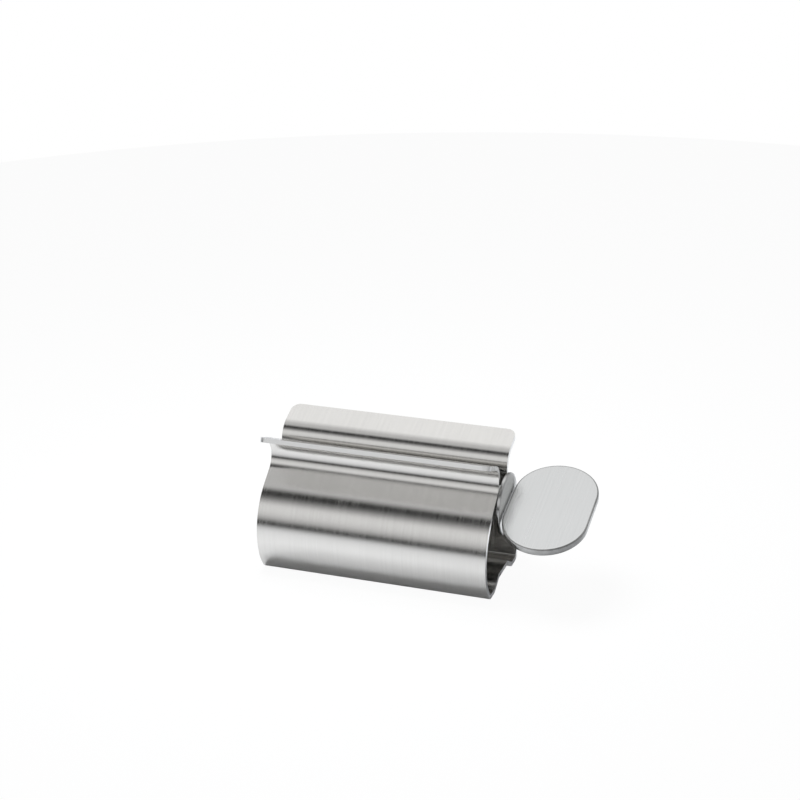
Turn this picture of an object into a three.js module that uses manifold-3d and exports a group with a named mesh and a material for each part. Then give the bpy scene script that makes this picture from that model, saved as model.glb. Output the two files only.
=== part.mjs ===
// Tube squeezer with a winding key. Millimetres, +Z up.
// One steel sheet is folded into a holder that stands on two feet. Its section is the same all
// along X: an arched base, two bellied walls that close to a slot, and two lips flared outwards.
// A key lies along the belly: a split shaft, a round stop flange and a flat grip plate.
// The origin is the middle of the bounding box's base.
import * as THREE from 'three';
import { mergeVertices } from 'three/addons/utils/BufferGeometryUtils.js';
import Module from 'manifold-3d';

// Folded sheet
const sheet = 1.5;            // thickness of the sheet
const bodyLength = 80;        // along X
const bellyRadius = 20.4;     // outside of the bellied walls
const wallFoot = 2.05002;     // height where a wall's round ends for its foot, on the middle of the sheet
const shoulderSlope = 37.5;   // degrees, where a wall leaves the round for the neck
const footLean = 54;          // degrees, slope of a wall where it comes down to its foot
const archHeight = 3.1;       // clear height under the base
const archFlat = 10;          // flat width at the top of the arch
const archSlope = 31;         // degrees
const slotWidth = 7.7;        // clear width between the two necks
const neckRise = 7.96142;     // from where the shoulder's line meets the neck's to where the lip's does
const lipSlope = 21.7;        // degrees above level
const lipSpan = 31.8;         // from tip to tip, on the middle of the sheet
const lipCorner = 3;          // radius of the lips' corners, seen from above

// Inside radii of its bends
const archBend = 2;
const footBend = 1.7;
const neckBend = 3.9;
const lipBend = 6.5;

// Key
const keyHeight = 28.2;       // height of its axis above the table
const keyRoll = 16.7;         // degrees, tilt of the grip plate at rest
const flangeDiameter = 20.8;
const flangeThickness = 1.2;
const flangePlay = 0.5;       // between the sheet's end and the flange
const shaftWidth = 12;
const shaftLeaf = 1.5;        // thickness of each leaf of the split shaft
const shaftSlot = 1.2;        // gap that takes the flat end of a tube
const shaftRoot = 6;          // solid length behind the slot
const shaftSetback = 3;       // free end, inside the sheet's far end
const shaftNose = 3;          // radius of the leaves' free corners
const gripWidth = 28;         // along X
const gripStraight = 13.8;    // straight stretch of its two sides, between its round ends
const gripThickness = 2.5;
const seatGap = 0.3;          // between pieces of the key that are joined to each other

const facetAngle = 4;         // degrees turned by one facet of a round

const rad = THREE.MathUtils.degToRad;
const steel = (color, roughness) => new THREE.MeshStandardMaterial({ color, roughness, metalness: 1 });

const wasm = await Module();
wasm.setup();

// Solid from a closed three.js geometry, and back
function toSolid(geometry) {
  const bare = geometry.clone();
  bare.deleteAttribute('normal');
  bare.deleteAttribute('uv');
  const merged = mergeVertices(bare, 1e-5);
  return new wasm.Manifold(new wasm.Mesh({
    numProp: 3,
    vertProperties: new Float32Array(merged.attributes.position.array),
    triVerts: new Uint32Array(merged.index.array),
  }));
}

function toGeometry(solid) {
  const mesh = solid.getMesh();
  const geometry = new THREE.BufferGeometry();
  geometry.setAttribute('position', new THREE.BufferAttribute(mesh.vertProperties, 3));
  geometry.setIndex(new THREE.BufferAttribute(mesh.triVerts, 1));
  geometry.computeVertexNormals();
  return geometry;
}

// Points along the bent middle line of a strip: straight runs between corners, each corner
// rounded by its own radius. Every point carries the strip's sideways direction.
function bentLine(corners) {
  const line = [];
  const put = (point, along) => line.push({ point, side: new THREE.Vector2(-along.y, along.x) });
  const heading = (from, to) => to.at.clone().sub(from.at).normalize();
  const last = corners.length - 1;
  put(corners[0].at, heading(corners[0], corners[1]));
  for (let i = 1; i < last; i++) {
    const before = heading(corners[i - 1], corners[i]);
    const after = heading(corners[i], corners[i + 1]);
    const turn = Math.atan2(before.cross(after), before.dot(after));
    const reach = corners[i].radius * Math.tan(Math.abs(turn) / 2);
    const start = corners[i].at.clone().addScaledVector(before, -reach);
    const inward = new THREE.Vector2(-before.y, before.x).multiplyScalar(Math.sign(turn));
    const centre = start.clone().addScaledVector(inward, corners[i].radius);
    const steps = Math.max(2, Math.round(Math.abs(turn) / rad(facetAngle)));
    for (let k = 0; k <= steps; k++) {
      const angle = turn * k / steps;
      put(start.clone().rotateAround(centre, angle), before.clone().rotateAround(new THREE.Vector2(), angle));
    }
  }
  put(corners[last].at, heading(corners[last - 1], corners[last]));
  return line;
}

// The sheet's middle line, from the middle of the arch to the tip of the rear lip, in (Y, Z)
const half = sheet / 2;
const round = bellyRadius - half;
const lean = rad(footLean);
const slope = rad(shoulderSlope);
const bellyCentre = wallFoot + round * Math.cos(lean);
const low = new THREE.Vector2(round * Math.sin(lean), wallFoot);
const high = new THREE.Vector2(round * Math.sin(slope), bellyCentre + round * Math.cos(slope));
const neck = slotWidth / 2 + half;
const neckFoot = high.y + (high.x - neck) * Math.tan(slope);
const lipRise = neckFoot + neckRise;

function halfSection() {
  const turn = Math.PI - lean - slope;
  const middle = Math.PI / 2 - slope - turn / 2;
  const apex = round / Math.cos(turn / 2);
  const corner = (y, z, radius) => ({ at: new THREE.Vector2(y, z), radius });
  return [
    corner(archFlat / 2, archHeight + half, archBend + half),
    corner(archFlat / 2 + archHeight / Math.tan(rad(archSlope)), half, footBend + half),
    corner(low.x - (low.y - half) / Math.tan(lean), half, footBend + half),
    corner(apex * Math.cos(middle), bellyCentre + apex * Math.sin(middle), round),
    corner(neck, neckFoot, neckBend + half),
    corner(neck, lipRise, lipBend + half),
    corner(lipSpan / 2, lipRise + (lipSpan / 2 - neck) * Math.tan(rad(lipSlope)), 0),
  ];
}

// Block that leaves a rounded corner when it is taken away, built about the corner's centre
function cornerCutter(quarterTurns) {
  const reach = lipCorner + 4;
  const outline = new THREE.Shape();
  outline.moveTo(lipCorner, 0);
  outline.absarc(0, 0, lipCorner, 0, Math.PI / 2, false);
  outline.lineTo(0, reach);
  outline.lineTo(reach, reach);
  outline.lineTo(reach, 0);
  const block = new THREE.ExtrudeGeometry(outline, { depth: 16, bevelEnabled: false, curveSegments: 8 });
  return block.rotateZ(quarterTurns * Math.PI / 2);
}

function foldedSheet() {
  const rear = halfSection();
  const front = rear.map(({ at, radius }) => ({ at: new THREE.Vector2(-at.x, at.y), radius })).reverse();
  const line = bentLine([...front, ...rear]);
  const offset = (way) => line.map(({ point, side }) => point.clone().addScaledVector(side, way * sheet / 2));
  const outline = new THREE.Shape([...offset(1), ...offset(-1).reverse()]);
  const strip = new THREE.ExtrudeGeometry(outline, { depth: bodyLength, bevelEnabled: false });
  strip.translate(0, 0, -bodyLength / 2);
  // the section's (x, y) becomes (Y, Z), and the extrusion runs along X
  strip.applyMatrix4(new THREE.Matrix4().set(0, 0, 1, 0, 1, 0, 0, 0, 0, 1, 0, 0, 0, 0, 0, 1));
  let solid = toSolid(strip);
  // the lips' four corners, taken a quarter turn apart
  const x = bodyLength / 2 - lipCorner;
  const y = lipSpan / 2 + sheet / 2 * Math.sin(rad(lipSlope)) - lipCorner;
  const centres = [[x, y], [-x, y], [-x, -y], [x, -y]];
  centres.forEach((centre, turns) => {
    const cutter = cornerCutter(turns).translate(...centre, lipRise - sheet);
    solid = solid.subtract(toSolid(cutter));
  });
  return toGeometry(solid);
}

// Places along X, from the sheet's right end outwards
const flangeInner = bodyLength / 2 + flangePlay;
const flangeOuter = flangeInner + flangeThickness;
const gripInner = flangeOuter + seatGap;
const shaftEnd = flangeInner - seatGap;
const shaftStart = -bodyLength / 2 + shaftSetback;

// Flat bar split along its length, its two leaves open at the free end
function splitShaft() {
  const leaf = new THREE.Shape();
  const half = shaftWidth / 2;
  leaf.moveTo(shaftEnd, -half);
  leaf.lineTo(shaftEnd, half);
  leaf.lineTo(shaftStart + shaftNose, half);
  leaf.absarc(shaftStart + shaftNose, half - shaftNose, shaftNose, Math.PI / 2, Math.PI, false);
  leaf.absarc(shaftStart + shaftNose, shaftNose - half, shaftNose, Math.PI, 1.5 * Math.PI, false);
  const depth = 2 * shaftLeaf + shaftSlot;
  const bar = new THREE.ExtrudeGeometry(leaf, { depth, bevelEnabled: false, curveSegments: 8 });
  bar.translate(0, 0, -depth / 2);
  const slotLength = shaftEnd - shaftRoot - shaftStart;
  const slot = new THREE.BoxGeometry(2 * slotLength, 2 * shaftWidth, shaftSlot);
  slot.translate(shaftStart, 0, 0);
  const geometry = toGeometry(toSolid(bar).subtract(toSolid(slot)));
  return geometry.rotateX(Math.PI / 2);
}

function stopFlange() {
  const disc = new THREE.CylinderGeometry(flangeDiameter / 2, flangeDiameter / 2, flangeThickness, 72);
  return disc.rotateZ(Math.PI / 2).translate((flangeInner + flangeOuter) / 2, 0, 0);
}

// Flat plate with two straight sides across the key's axis and rounded ends
function gripPlate() {
  const halfWidth = gripWidth / 2;
  const halfStraight = gripStraight / 2;
  const middle = gripInner + halfWidth;
  const outline = new THREE.Shape();
  outline.moveTo(middle + halfWidth, -halfStraight);
  outline.lineTo(middle + halfWidth, halfStraight);
  outline.absarc(middle, halfStraight, halfWidth, 0, Math.PI, false);
  outline.lineTo(middle - halfWidth, -halfStraight);
  outline.absarc(middle, -halfStraight, halfWidth, Math.PI, 2 * Math.PI, false);
  const plate = new THREE.ExtrudeGeometry(outline, { depth: gripThickness, bevelEnabled: false, curveSegments: 40 });
  return plate.translate(0, 0, -gripThickness / 2);
}

function named(name, geometry, material) {
  const mesh = new THREE.Mesh(geometry, material);
  mesh.name = name;
  return mesh;
}

const key = new THREE.Group();
key.add(named('split_shaft', splitShaft(), steel(0xa9aaa9, 0.35)));
key.add(named('stop_flange', stopFlange(), steel(0xb4b6b6, 0.32)));
key.add(named('grip_plate', gripPlate(), steel(0xc9cbca, 0.42)));
key.position.z = keyHeight;
key.rotation.x = rad(keyRoll);

const group = new THREE.Group();
group.add(named('folded_holder', foldedSheet(), steel(0xb9b9b8, 0.34)));
group.add(key);
// the box runs from the sheet's left end to the grip's outer side
group.position.x = -(gripInner + gripWidth - bodyLength / 2) / 2;

export default group;
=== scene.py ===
import bpy
import numpy as np
from mathutils import Matrix, Vector


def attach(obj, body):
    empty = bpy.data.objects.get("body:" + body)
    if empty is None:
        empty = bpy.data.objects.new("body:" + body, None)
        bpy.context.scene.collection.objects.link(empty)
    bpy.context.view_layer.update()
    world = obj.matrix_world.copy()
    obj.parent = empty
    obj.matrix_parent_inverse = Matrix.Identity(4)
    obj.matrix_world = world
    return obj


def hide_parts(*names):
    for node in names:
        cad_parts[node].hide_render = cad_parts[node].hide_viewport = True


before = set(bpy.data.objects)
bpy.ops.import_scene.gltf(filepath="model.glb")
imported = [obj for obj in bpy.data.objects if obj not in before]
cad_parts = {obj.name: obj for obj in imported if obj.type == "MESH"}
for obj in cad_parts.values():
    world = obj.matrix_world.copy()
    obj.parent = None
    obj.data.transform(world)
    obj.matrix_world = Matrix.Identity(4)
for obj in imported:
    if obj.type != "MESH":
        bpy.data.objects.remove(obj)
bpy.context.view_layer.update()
mm = 0.001  # every size below is in millimetres, every mesh in metres
print("frame loaded")


# Shader maths: a socket with Python's operators

class Socket:
    def __init__(self, shader, link):
        self.shader = shader
        self.link = link

    def maths(self, operation, *others, **settings):
        values = dict(enumerate((self, *others)))
        return self.shader.node("ShaderNodeMath", dict(operation=operation, **settings), values)

    # another output of the same node
    def beside(self, output):
        return Socket(self.shader, self.link.node.outputs[output])

    def __add__(self, other):
        return self.maths("ADD", other)

    __radd__ = __add__

    def __mul__(self, other):
        return self.maths("MULTIPLY", other)

    __rmul__ = __mul__

    def __sub__(self, other):
        return self.maths("SUBTRACT", other)

    def __rsub__(self, other):
        return self.shader.node("ShaderNodeMath", dict(operation="SUBTRACT"), {0: other, 1: self})

    def __neg__(self):
        return self.maths("MULTIPLY", -1.0)


class Shader:
    def __init__(self, tree):
        tree.nodes.clear()
        self.tree = tree

    # any node: its type, the settings that come first, then the values or links of its sockets
    def node(self, kind, settings=None, inputs=None, output=0):
        made = self.tree.nodes.new(kind)
        for name, value in (settings or {}).items():
            if name == "stops":
                self.fillRamp(made.color_ramp, value)
            else:
                setattr(made, name, value)
        for name, value in (inputs or {}).items():
            if isinstance(value, Socket):
                self.tree.links.new(value.link, made.inputs[name])
            else:
                made.inputs[name].default_value = value
        if len(made.outputs):
            return Socket(self, made.outputs[output])

    # stops: pairs of a place and a colour
    def fillRamp(self, ramp, stops):
        for place, colour in stops[1:-1]:
            ramp.elements.new(place)
        for element, (place, colour) in zip(ramp.elements, stops):
            element.position = place
            element.color = (*colour, 1)

    # two colours, on the Mix node's sockets for colours
    def mixed(self, factor, a, b):
        settings = dict(data_type="RGBA", clamp_factor=True)
        return self.node("ShaderNodeMix", settings, {0: factor, 6: a, 7: b}, output=2)


# Camera

view = dict(
    lens=83.494, sensor=36, near=0.01,
    place=(180.431, -529.241, 291.147), yaw=19.835, rise=22.287, roll=-1.0387,
)


def addCamera():
    yaw, rise, roll = np.radians([view["yaw"], view["rise"], view["roll"]])
    back = np.array([np.sin(yaw) * np.cos(rise), -np.cos(yaw) * np.cos(rise), np.sin(rise)])
    level = np.array([np.cos(yaw), np.sin(yaw), 0])
    upright = np.cross(back, level)
    right = np.cos(roll) * level + np.sin(roll) * upright
    up = np.cross(back, right)
    lensData = bpy.data.cameras.new("photoView")
    lensData.lens = view["lens"]
    lensData.sensor_width = view["sensor"]
    lensData.clip_start = view["near"]
    camera = bpy.data.objects.new("photoView", lensData)
    turned = Matrix((right, up, back)).transposed().to_4x4()
    camera.matrix_world = Matrix.Translation(Vector(view["place"]) * mm) @ turned
    bpy.context.scene.collection.objects.link(camera)
    bpy.context.scene.camera = camera


# Studio: a pale table, and a room of long soft panels that run along X

studio = dict(
    tableRadius=600,
    tableSides=96,
    tableColour=(0.865, 0.88, 0.905),
    tableGlow=0.95,  # share of plain white that the camera sees on the table
    fill=0.30,  # the room's light on the table
    lampWatts=0.92,
    lampSize=160,
    lampPlace=(-60, 25, 265),
    tint=(0.995, 1.0, 1.01),
    room=[  # degrees up from the horizon in front, over the top to the back; brightness
        (-180, 0.20), (-90, 0.2), (-12, 0.22), (-3, 0.09), (4, 0.04), (8, 0.38), (13, 0.68),
        (20, 0.90), (29, 1.02), (38, 0.98), (43.5, 0.66), (50, 0.30), (55, 0.09), (60, 0.02),
        (65, 0.02), (68, 0.28), (71.5, 0.64), (76, 0.73), (82, 0.69), (95, 0.92), (113, 1.30),
        (124, 1.08), (136, 0.85), (146, 0.40), (160, 0.26), (180, 0.20),
    ],
    side=0.66,  # brightness of the even light to the right, where the panels end
    sideShare=0.7,
    sideStart=-0.08,  # where it starts and how wide it fades in, in a direction's x
    sideWidth=0.3,
)


def addStudio():
    world = bpy.data.worlds.new("room")
    bpy.context.scene.world = world
    world.use_nodes = True
    room = Shader(world.node_tree)
    ray = room.node("ShaderNodeNewGeometry", output="Incoming")
    # the world's incoming vector points back along the ray
    back = room.node("ShaderNodeSeparateXYZ", inputs={0: ray})
    rightward, forward, height = -back, back.beside("Y"), -back.beside("Z")
    # the angle about X is wrapped from 0 to 1 along the ramp
    angle = height.maths("ARCTAN2", forward) * (0.5 / np.pi) + 0.5
    tint = np.array(studio["tint"])
    stops = [((degrees + 180) / 360, tuple(value * tint)) for degrees, value in studio["room"]]
    panels = room.node("ShaderNodeValToRGB", dict(stops=stops), {0: angle})
    # past the panels' right ends the room is an even soft light
    aside = (rightward - studio["sideStart"]).maths("DIVIDE", studio["sideWidth"], use_clamp=True)
    even = (*(studio["side"] * tint), 1)
    panels = room.mixed(aside * studio["sideShare"], panels, even)
    seen = room.node("ShaderNodeLightPath", output="Is Camera Ray")
    fill = (studio["fill"], studio["fill"], studio["fill"], 1)
    lit = room.mixed(seen.beside("Is Diffuse Ray"), panels, fill)
    light = room.node("ShaderNodeBackground", inputs={0: room.mixed(seen, lit, (1, 1, 1, 1)), 1: 1.0})
    room.node("ShaderNodeOutputWorld", inputs={0: light})

    turns = np.linspace(0, 2 * np.pi, studio["tableSides"] + 1)[:-1]
    rim = np.stack([np.cos(turns), np.sin(turns), 0 * turns], 1) * studio["tableRadius"] * mm
    mesh = bpy.data.meshes.new("table")
    mesh.from_pydata(rim.tolist(), [], [list(range(len(rim)))])
    table = bpy.data.objects.new("table", mesh)
    bpy.context.scene.collection.objects.link(table)
    paper = bpy.data.materials.new("paleTable")
    paper.use_nodes = True
    shader = Shader(paper.node_tree)
    matt = shader.node("ShaderNodeBsdfDiffuse", inputs={0: (*studio["tableColour"], 1)})
    white = shader.node("ShaderNodeEmission", inputs={0: (1, 1, 1, 1), 1: 1.0})
    seen = shader.node("ShaderNodeLightPath", output="Is Camera Ray") * studio["tableGlow"]
    surface = shader.node("ShaderNodeMixShader", inputs={0: seen, 1: matt, 2: white})
    shader.node("ShaderNodeOutputMaterial", inputs={0: surface})
    mesh.materials.append(paper)

    lamp = bpy.data.lights.new("softTop", "AREA")
    lamp.shape = "DISK"
    lamp.size = studio["lampSize"] * mm
    lamp.energy = studio["lampWatts"]
    top = bpy.data.objects.new("softTop", lamp)
    place = Vector(studio["lampPlace"]) * mm
    top.matrix_world = Matrix.Translation(place) @ place.to_track_quat("Z", "Y").to_matrix().to_4x4()
    top.visible_glossy = False
    bpy.context.scene.collection.objects.link(top)
    bpy.context.scene.view_settings.view_transform = "Standard"


# Steel

noise = dict(
    hairs=3.1, broad=70.0, blotch=900.0,  # scales, the hairlines' one on top of the grain's
    detail=2.0, lineDetail=3.0, rough=0.6,
    broadRough=0.03, blotchRough=0.4, blotchHeight=0.15,  # their shares in roughness and height
    bump=0.0003,
)


# grain is the scale of the brushed lines along X, Y and Z: high across them, low along them. streak
# is how much they vary in tone and roughness, and comb how high they stand. mottle is the strength of
# the fine blotches, patches that of the broad ones.
def steel(name, colour, roughness, grain, streak, comb, turn=0.0, centre=(0, 0, 0), mottle=0.0, patches=0.05):
    material = bpy.data.materials.new(name)
    material.use_nodes = True
    shader = Shader(material.node_tree)

    def pattern(vector, scale, **more):
        inputs = {"Vector": vector, "Scale": scale, "Detail": noise["detail"], **more}
        return shader.node("ShaderNodeTexNoise", inputs=inputs)

    place = shader.node("ShaderNodeTexCoord", output="Object")
    # the pattern turns with the piece, then is drawn out along its grain
    laying = {0: place, 1: tuple(c * mm for c in centre), 2: (turn, 0, 0)}
    laid = shader.node("ShaderNodeMapping", dict(vector_type="TEXTURE"), laying)
    drawn = shader.node("ShaderNodeVectorMath", dict(operation="MULTIPLY"), {0: laid, 1: grain})
    lines = pattern(drawn, 1.0, Detail=noise["lineDetail"], Roughness=noise["rough"]) - 0.5
    hairs = pattern(drawn, noise["hairs"], Roughness=noise["rough"])
    broad = pattern(laid, noise["broad"]) - 0.5
    blotch = pattern(laid, noise["blotch"])
    tone = lines * streak + broad * patches + (blotch - 0.5) * mottle + 1.0
    base = shader.node("ShaderNodeVectorMath", dict(operation="SCALE"), {0: colour, "Scale": tone})
    rough = roughness + lines * streak + broad * noise["broadRough"]
    rough = rough + (blotch - 0.5) * (mottle * noise["blotchRough"])
    # the hairlines tip the light to both sides of the grain
    height = hairs * comb + blotch * (mottle * noise["blotchHeight"])
    bump = {"Strength": 1.0, "Distance": noise["bump"], "Height": height}
    normal = shader.node("ShaderNodeBump", inputs=bump)
    look = {"Base Color": base, "Metallic": 1.0, "Roughness": rough, "Normal": normal}
    surface = shader.node("ShaderNodeBsdfPrincipled", inputs=look)
    shader.node("ShaderNodeOutputMaterial", inputs={0: surface})
    return material


# Meshes from grids of points: rows along the first parameter, columns along the second

detail = dict(
    arcStep=1.5,  # degrees of a bend to each row of faces
    arcRows=4,  # a bend's least rows
    tipRows=25, tipCrowding=1.8,  # on a lip's last run, closer together towards its tip
    sheetColumns=8,
    endSides=64, flangeSides=128, noseSides=8,
    gripEdgeRows=6, flangeEdgeRows=4, edgeSegments=3,
    faceMargin=0.5,  # flat ring of a plate's face, inside its rounded edge
)


def gridFaces(rows, columns, closed):
    across = columns if closed else columns - 1
    row, column = np.meshgrid(np.arange(rows - 1), np.arange(across), indexing="ij")
    after = (column + 1) % columns
    near, far = row * columns, (row + 1) * columns
    return np.stack([near + column, near + after, far + after, far + column], -1).reshape(-1, 4)


def addPiece(name, points, faces, materials, body, nodes, faceMaterials=None):
    mesh = bpy.data.meshes.new(name)
    mesh.from_pydata((points * mm).tolist(), [], faces)
    for material in materials:
        mesh.materials.append(material)
    if faceMaterials is not None:
        mesh.polygons.foreach_set("material_index", faceMaterials)
    mesh.polygons.foreach_set("use_smooth", np.ones(len(mesh.polygons), bool))
    mesh.update()
    piece = bpy.data.objects.new(name, mesh)
    bpy.context.scene.collection.objects.link(piece)
    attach(piece, body)
    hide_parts(*nodes)
    return piece


def roundEdges(piece, width, sharpAngle):
    edge = piece.modifiers.new("edge", "BEVEL")
    edge.width = width * mm
    edge.segments = detail["edgeSegments"]
    edge.limit_method = "ANGLE"
    edge.angle_limit = np.radians(sharpAngle)
    edge.harden_normals = True


# Folded sheet

sheet = dict(
    thickness=1.5, length=80, middle=-15.0,
    bellyRadius=20.4, bellyCentre=13.6, shoulderSlope=37.5, footLean=54,
    archHeight=3.1, archFlat=10, archSlope=31,
    slotWidth=7.7, lipRise=42.8, lipSlope=21.7, lipSpan=31.8, lipCorner=3,
    archBend=2, footBend=1.7, neckBend=6.05, lipBend=5.95,
    edgeRound=0.14, sharpAngle=50,
)


def sheetCorners():
    s = sheet
    half = s["thickness"] / 2
    belly = s["bellyRadius"] - half
    lean, slope, arch, lip = np.radians([s["footLean"], s["shoulderSlope"], s["archSlope"], s["lipSlope"]])
    low = np.array([belly * np.sin(lean), s["bellyCentre"] - belly * np.cos(lean)])
    high = np.array([belly * np.sin(slope), s["bellyCentre"] + belly * np.cos(slope)])
    neck = (s["slotWidth"] + s["thickness"]) / 2
    turn = np.pi - lean - slope
    middle = np.pi / 2 - slope - turn / 2
    apex = belly / np.cos(turn / 2)
    tip = s["lipSpan"] / 2
    return [
        (s["archFlat"] / 2, s["archHeight"] + half, s["archBend"] + half),
        (s["archFlat"] / 2 + s["archHeight"] / np.tan(arch), half, s["footBend"] + half),
        (low[0] - (low[1] - half) / np.tan(lean), half, s["footBend"] + half),
        (apex * np.cos(middle), s["bellyCentre"] + apex * np.sin(middle), belly),
        (neck, high[1] + (high[0] - neck) * np.tan(slope), s["neckBend"] + half),
        (neck, s["lipRise"], s["lipBend"] + half),
        (tip, s["lipRise"] + (tip - neck) * np.tan(lip), 0),
    ]


# A strip's middle line: straight runs that meet in arcs. An arc's point is its start turned by
# k/n of the corner's angle about the arc's centre, which lies one radius off the first run.
def bentLine(corners):
    at = np.array([c[:2] for c in corners])
    runs = np.diff(at, axis=0)
    runs /= np.linalg.norm(runs, axis=1)[:, None]
    line = [at[:1]]
    for i in range(1, len(at) - 1):
        before, after = runs[i - 1], runs[i]
        angle = np.arctan2(before[0] * after[1] - before[1] * after[0], before @ after)
        radius = corners[i][2]
        start = at[i] - before * radius * np.tan(abs(angle) / 2)
        centre = start + np.array([-before[1], before[0]]) * np.sign(angle) * radius
        rows = max(detail["arcRows"], int(abs(np.degrees(angle)) / detail["arcStep"]))
        turned = np.linspace(0, angle, rows + 1)[:, None]
        arm = start - centre
        line.append(centre + np.cos(turned) * arm + np.sin(turned) * np.array([-arm[1], arm[0]]))
    # the last run, to the lip's tip, closes up towards its end for the rounded corner
    first = line[-1][-1]
    even = np.linspace(0, 1, detail["tipRows"] + 1)[1:, None]
    share = 1 - (1 - even) ** detail["tipCrowding"]
    line.append(first + (at[-1] - first) * share)
    return np.concatenate(line)


# The sheet's middle surface: its line carried along X, then thickened to both sides. Near a lip's
# tip the half length is shorter by r - sqrt(r^2 - (r - d)^2), where d is the distance from the tip
# and r the corner's radius.
def buildSheet(brushed, cut):
    rear = bentLine(sheetCorners())
    line = np.concatenate([(rear * [-1, 1])[::-1], rear])
    r = sheet["lipCorner"]
    inset = np.clip(r - (np.abs(rear[-1, 0]) - np.abs(line[:, 0])), 0, r)
    inset[line[:, 1] < sheet["lipRise"]] = 0
    half = sheet["length"] / 2 - (r - np.sqrt(r * r - inset * inset))
    along = np.linspace(-1, 1, detail["sheetColumns"] + 1)
    x = sheet["middle"] + half[:, None] * along
    points = np.stack([x, line[:, :1] + 0 * x, line[:, 1:] + 0 * x], -1).reshape(-1, 3)
    faces = gridFaces(len(line), len(along), False).tolist()
    materials = [brushed, cut]
    piece = addPiece("foldedSheet", points, faces, materials, "holder", ["folded_holder"])
    wall = piece.modifiers.new("wall", "SOLIDIFY")
    wall.thickness = sheet["thickness"] * mm
    wall.offset = 0
    wall.use_even_offset = True
    wall.material_offset_rim = 1
    roundEdges(piece, sheet["edgeRound"], sheet["sharpAngle"])


# Key: all its sizes are about its own axis, then turned by its roll and lifted to its height

key = dict(height=28.2, roll=16.7)
flange = dict(radius=10.4, inner=25.5, outer=26.7, edgeRound=0.3)
grip = dict(inner=27.0, width=28, straight=13.8, thickness=2.5, edgeRound=0.5)
shaft = dict(
    start=-52.0, end=25.2, width=12, leaf=1.5, slot=1.2, root=6, nose=3,
    edgeRound=0.18, sharpAngle=40,
)


# The key's points, turned about X by its roll and lifted
def turnedKey(points):
    roll = np.radians(key["roll"])
    x, y, z = points.T
    lifted = key["height"] + y * np.sin(roll) + z * np.cos(roll)
    return np.stack([x, y * np.cos(roll) - z * np.sin(roll), lifted], 1)


# The edge of a plate, from the rim of one face to the rim of the other: inset from the outline and
# height over the middle. Each quarter round is (e - e sin a, t/2 - e + e cos a) and its mirror image.
def plateEdge(thickness, edgeRound, rows):
    a = np.linspace(0, np.pi / 2, rows + 1)
    inset = np.concatenate([[edgeRound + detail["faceMargin"]], edgeRound * (1 - np.sin(a))])
    height = np.concatenate([[thickness / 2], thickness / 2 - edgeRound * (1 - np.cos(a))])
    return np.concatenate([inset, inset[::-1]]), np.concatenate([height, -height[::-1]])


# A plate from closed rings of points that run from one face over the edge to the other. The rows
# between the two faces take the second material.
def platePiece(name, rings, materials, nodes):
    rows, columns = rings.shape[:2]
    faces = gridFaces(rows, columns, True)[:, ::-1]
    last = (rows - 1) * columns
    caps = [list(range(columns)), list(range(last, last + columns))[::-1]]
    rowOf = faces.min(1) // columns
    onEdge = ((rowOf > 0) & (rowOf < rows - 2)).astype(int)
    faceMaterials = np.concatenate([onEdge, [0] * len(caps)])
    points = turnedKey(rings.reshape(-1, 3))
    addPiece(name, points, faces.tolist() + caps, materials, "key", nodes, faceMaterials)


# A stadium: points at distance rho from a line segment along Y, taken round by angle; the edge's
# inset shortens rho and its height runs along Z.
def buildGrip(brushed, groundPaintedShade):
    inset, height = plateEdge(grip["thickness"], grip["edgeRound"], detail["gripEdgeRows"])
    half = grip["width"] / 2
    halfTurn = np.linspace(0, np.pi, detail["endSides"] + 1)
    angle = np.concatenate([halfTurn, halfTurn + np.pi])
    end = np.repeat([1, -1], len(halfTurn)) * grip["straight"] / 2
    rho = half - inset[:, None]
    x = grip["inner"] + half + rho * np.cos(angle)
    y = end + rho * np.sin(angle)
    rings = np.stack([x, y, height[:, None] + 0 * x], -1)
    platePiece("gripPlate", rings, [brushed, groundPaintedShade], ["grip_plate"])


# A disc: the edge's inset shortens the radius and its height runs along X.
def buildFlange(brushed, groundPaintedShade):
    thickness = flange["outer"] - flange["inner"]
    inset, height = plateEdge(thickness, flange["edgeRound"], detail["flangeEdgeRows"])
    angle = np.linspace(0, 2 * np.pi, detail["flangeSides"] + 1)[:-1]
    rho = flange["radius"] - inset[:, None]
    x = (flange["outer"] + flange["inner"]) / 2 + height[:, None] + 0 * angle
    rings = np.stack([x, rho * np.cos(angle), rho * np.sin(angle)], -1)
    platePiece("stopFlange", rings, [brushed, groundPaintedShade], ["stop_flange"])


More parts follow.
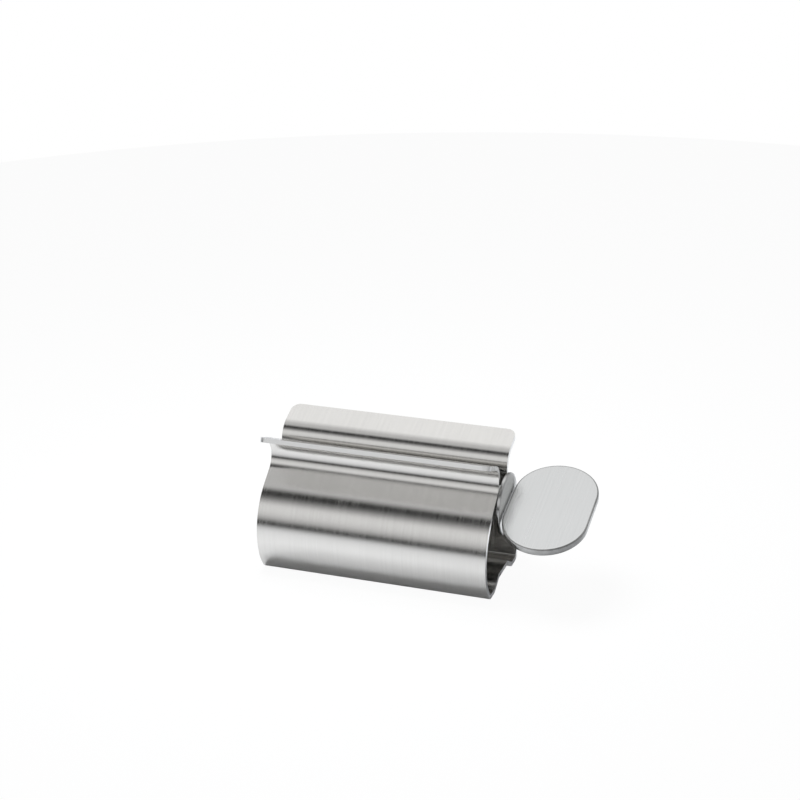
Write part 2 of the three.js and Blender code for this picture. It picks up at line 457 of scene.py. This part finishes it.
# A split bar: one outline in (X, Z), two free corners rounded by quarter circles, repeated at the
# four faces of its two leaves. Past the slot's floor the middle layer is closed as well.
def buildShaft(brushed):
    s = shaft
    half, nose = s["width"] / 2, s["nose"]
    a = np.linspace(np.pi / 2, np.pi, detail["noseSides"] + 1)
    cornerX = s["start"] + nose + nose * np.cos(a)
    cornerZ = half - nose + nose * np.sin(a)
    floor = s["end"] - s["root"]
    x = np.concatenate([[s["end"], floor], cornerX, cornerX[::-1], [floor, s["end"]]])
    z = np.concatenate([[half, half], cornerZ, -cornerZ[::-1], [-half, -half]])
    n = len(x)
    levels = np.array([-1, -1, 1, 1]) * s["slot"] / 2 + np.array([-1, 0, 0, 1]) * s["leaf"]
    points = np.stack([np.tile(x, 4), np.repeat(levels, n), np.tile(z, 4)], 1)
    faces = []
    for layer in range(3):
        sides = [i for i in range(n) if layer != 1 or i in (0, n - 2, n - 1)]
        low, high = layer * n, (layer + 1) * n
        faces += [[low + i, high + i, high + (i + 1) % n, low + (i + 1) % n] for i in sides]
    faces.append([n + 1, 2 * n + 1, 2 * n + n - 2, n + n - 2])  # the slot's floor
    leaf = list(range(1, n - 1))
    faces.append([n + i for i in leaf[::-1]])
    faces.append([2 * n + i for i in leaf])
    faces.append(list(range(n)))
    faces.append([3 * n + i for i in range(n)][::-1])
    piece = addPiece("splitShaft", turnedKey(points), faces, [brushed], "key", ["split_shaft"])
    roundEdges(piece, s["edgeRound"], s["sharpAngle"])


addCamera()
addStudio()
print("camera and studio ready")

sheetBrushed = steel(
    "sheetBrushed", (0.615, 0.605, 0.585), 0.15, (2300, 14, 14), streak=0.17, comb=0.16)
sheetCut = steel("sheetCut", (0.76, 0.76, 0.755), 0.2, (300, 900, 900), streak=0.10, comb=0.0)
onKey = dict(turn=np.radians(key["roll"]), centre=(0, 0, key["height"]))
plateBrushed = steel(
    "plateBrushed", (0.60, 0.605, 0.60), 0.24, (1500, 16, 16), streak=0.24, comb=0.07, **onKey)
# The plates' ground edges: a duller ground finish, plus painted shade. The base colour is darkened to stand
# in for the shadowed table these edges reflect, and the strong broad blotches paint light and dark patches of
# that reflection along them.
plateGroundPaintedShade = steel(
    "plateGroundPaintedShade", (0.36, 0.36, 0.355), 0.16, (400, 400, 400), streak=0.1, comb=0.05,
    mottle=0.4, patches=2.2, **onKey)
print("steel ready")

buildSheet(sheetBrushed, sheetCut)
buildGrip(plateBrushed, plateGroundPaintedShade)
buildFlange(plateBrushed, plateGroundPaintedShade)
buildShaft(plateBrushed)
print("pieces built")
